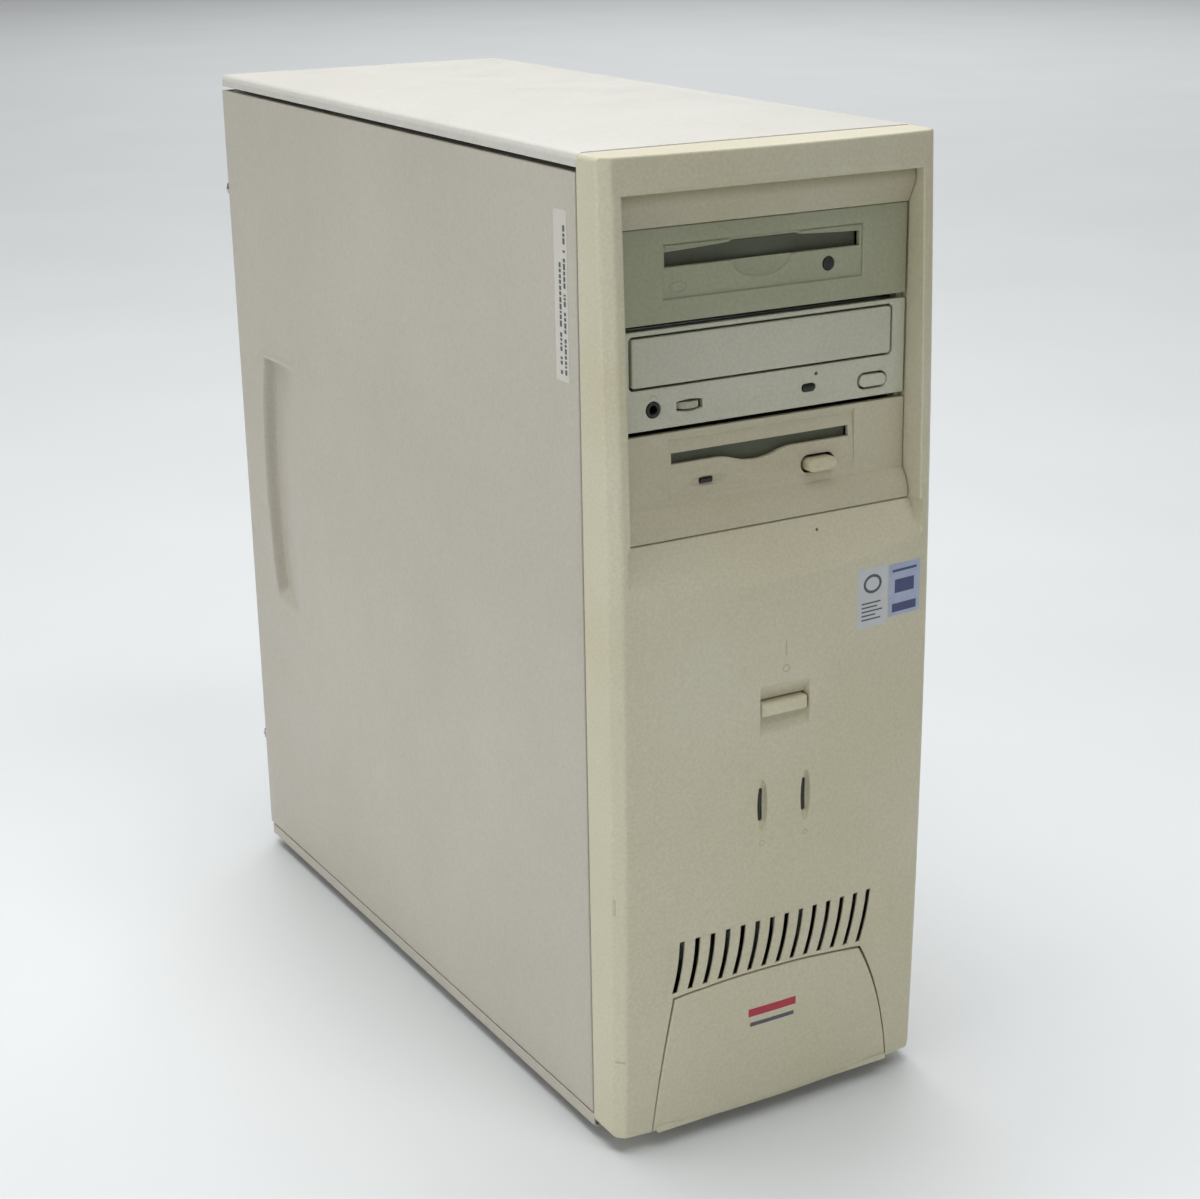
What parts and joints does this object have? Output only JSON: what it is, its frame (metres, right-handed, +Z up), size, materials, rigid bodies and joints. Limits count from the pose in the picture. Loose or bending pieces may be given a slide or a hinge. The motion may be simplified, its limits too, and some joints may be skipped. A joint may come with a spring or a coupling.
{
  "type": "desktop computer tower",
  "caption": "Upright desktop computer: steel case with lift-off side panel, bowed plastic front, disc, cartridge and floppy drives, rear ports and fan.",
  "frame": {"origin": "on the surface the tower stands on, under the middle of its outline including the rear thumbscrews", "axes": "+Z up, the front with the drives faces -Y, +X is on the right when facing the front"},
  "size_m": [0.168, 0.4253, 0.45],
  "materials": {
    "bezel_abs": "moulded ABS, yellowed cream, fine spark texture",
    "surround_abs": "moulded ABS, warm beige, fine texture",
    "optical_abs": "moulded ABS, grey beige, fine texture",
    "cartridge_abs": "moulded ABS, greenish grey, fine texture",
    "panel_paint": "sheet steel, warm grey powder coat",
    "cover_paint": "sheet steel, pale powder coat",
    "zinc_steel": "galvanised sheet steel",
    "cast_aluminium": "cast and extruded aluminium",
    "dark_door": "dark grey green moulded door",
    "black_plastic": "black moulded plastic",
    "lamp_plastic": "smoky light pipe, unlit",
    "circuit_board": "green solder mask over fibreglass",
    "slot_plastic": "ivory connector plastic",
    "grey_cable": "grey ribbon cable insulation",
    "wire_insulation": "bundled wire insulation",
    "red_plastic": "red switch plastic",
    "foot_rubber": "dark moulded rubber"
  },
  "bodies": {
    "chassis": {"base_pan": "panel_paint", "top_cover": "cover_paint", "rear_panel": "zinc_steel", "right_side_panel": "panel_paint", "board_tray": "zinc_steel", "front_chassis_plate": "zinc_steel", "drive_cage": "zinc_steel", "hard_disk_cradle": "zinc_steel", "hard_disk": "cast_aluminium", "front_bezel": "bezel_abs", "lower_front_plate": "bezel_abs", "power_switch": "black_plastic", "power_light_pipe": "lamp_plastic", "disk_light_pipe": "lamp_plastic", "bay_surround": "surround_abs", "floppy_drive_case": "zinc_steel", "floppy_drive_light": "lamp_plastic", "optical_drive_case": "zinc_steel", "optical_drive_fascia": "optical_abs", "headphone_jack": "black_plastic", "optical_drive_light": "lamp_plastic", "cartridge_drive_case": "zinc_steel", "cartridge_drive_fascia": "cartridge_abs", "power_supply_case": "zinc_steel", "fan_guard": "zinc_steel", "mains_inlet": "black_plastic", "main_board": "circuit_board", "processor_slot": "black_plastic", "processor_cartridge": "black_plastic", "processor_heatsink": "cast_aluminium", "memory_module_1": "circuit_board", "memory_module_2": "circuit_board", "expansion_slot_1": "slot_plastic", "expansion_slot_2": "slot_plastic", "expansion_slot_3": "slot_plastic", "graphics_card": "circuit_board", "slot_cover_1": "zinc_steel", "slot_cover_2": "zinc_steel", "graphics_card_bracket": "zinc_steel", "rear_port_block": "black_plastic", "drive_ribbon_cable": "grey_cable", "power_harness": "wire_insulation", "chassis_speaker": "black_plastic", "foot_front_left": "foot_rubber", "foot_front_right": "foot_rubber", "foot_rear_left": "foot_rubber", "foot_rear_right": "foot_rubber"},
    "access_panel": {"access_panel": "panel_paint"},
    "thumbscrew_lower": {"thumbscrew_lower": "zinc_steel"},
    "thumbscrew_upper": {"thumbscrew_upper": "zinc_steel"},
    "disc_tray": {"disc_tray": "optical_abs"},
    "optical_eject_button": {"optical_eject_button": "optical_abs"},
    "volume_wheel": {"volume_wheel": "black_plastic"},
    "cartridge_slot_door": {"cartridge_slot_door": "dark_door"},
    "cartridge_eject_button": {"cartridge_eject_button": "black_plastic"},
    "floppy_slot_door": {"floppy_slot_door": "dark_door"},
    "floppy_eject_button": {"floppy_eject_button": "surround_abs"},
    "power_button": {"power_button": "bezel_abs"},
    "power_supply_fan": {"power_supply_fan": "black_plastic"},
    "voltage_selector": {"voltage_selector": "red_plastic"}
  },
  "joints": [
    {"name": "access_panel_slide", "type": "slide", "parent": "chassis", "child": "access_panel", "axis": [0, 1, 0], "range_m": [0, 0.4]},
    {"name": "thumbscrew_lower_turn", "type": "hinge", "parent": "access_panel", "child": "thumbscrew_lower", "pos_m": [-0.0786, 0.20965, 0.0673], "axis": [0, 1, 0], "continuous": true},
    {"name": "thumbscrew_upper_turn", "type": "hinge", "parent": "access_panel", "child": "thumbscrew_upper", "pos_m": [-0.0786, 0.20965, 0.3885], "axis": [0, 1, 0], "continuous": true},
    {"name": "disc_tray_slide", "type": "slide", "parent": "chassis", "child": "disc_tray", "axis": [0, -1, 0], "range_m": [0, 0.14]},
    {"name": "optical_eject_push", "type": "slide", "parent": "chassis", "child": "optical_eject_button", "axis": [0, 1, 0], "range_m": [0, 0.0012], "stiffness_N_per_m": 250},
    {"name": "volume_wheel_turn", "type": "hinge", "parent": "chassis", "child": "volume_wheel", "pos_m": [-0.0377, -0.18895, 0.3429], "axis": [0, 0, 1], "range_deg": [-130, 130]},
    {"name": "cartridge_door_swing", "type": "hinge", "parent": "chassis", "child": "cartridge_slot_door", "pos_m": [0, -0.18975, 0.41], "axis": [1, 0, 0], "range_deg": [0, 75], "stiffness_Nm_per_rad": 0.0006},
    {"name": "cartridge_eject_push", "type": "slide", "parent": "chassis", "child": "cartridge_eject_button", "axis": [0, 1, 0], "range_m": [0, 0.0015], "stiffness_N_per_m": 200},
    {"name": "floppy_door_swing", "type": "hinge", "parent": "chassis", "child": "floppy_slot_door", "pos_m": [0, -0.19005, 0.324], "axis": [1, 0, 0], "range_deg": [0, 75], "stiffness_Nm_per_rad": 0.0006},
    {"name": "floppy_eject_push", "type": "slide", "parent": "chassis", "child": "floppy_eject_button", "axis": [0, 1, 0], "range_m": [0, 0.004], "stiffness_N_per_m": 250},
    {"name": "power_button_push", "type": "slide", "parent": "chassis", "child": "power_button", "axis": [0, 1, 0], "range_m": [0, 0.003], "stiffness_N_per_m": 300},
    {"name": "power_supply_fan_spin", "type": "hinge", "parent": "chassis", "child": "power_supply_fan", "pos_m": [-0.025, 0.19165, 0.395], "axis": [0, 1, 0], "continuous": true},
    {"name": "voltage_selector_slide", "type": "slide", "parent": "chassis", "child": "voltage_selector", "axis": [1, 0, 0], "range_m": [0, 0.006]}
  ]
}
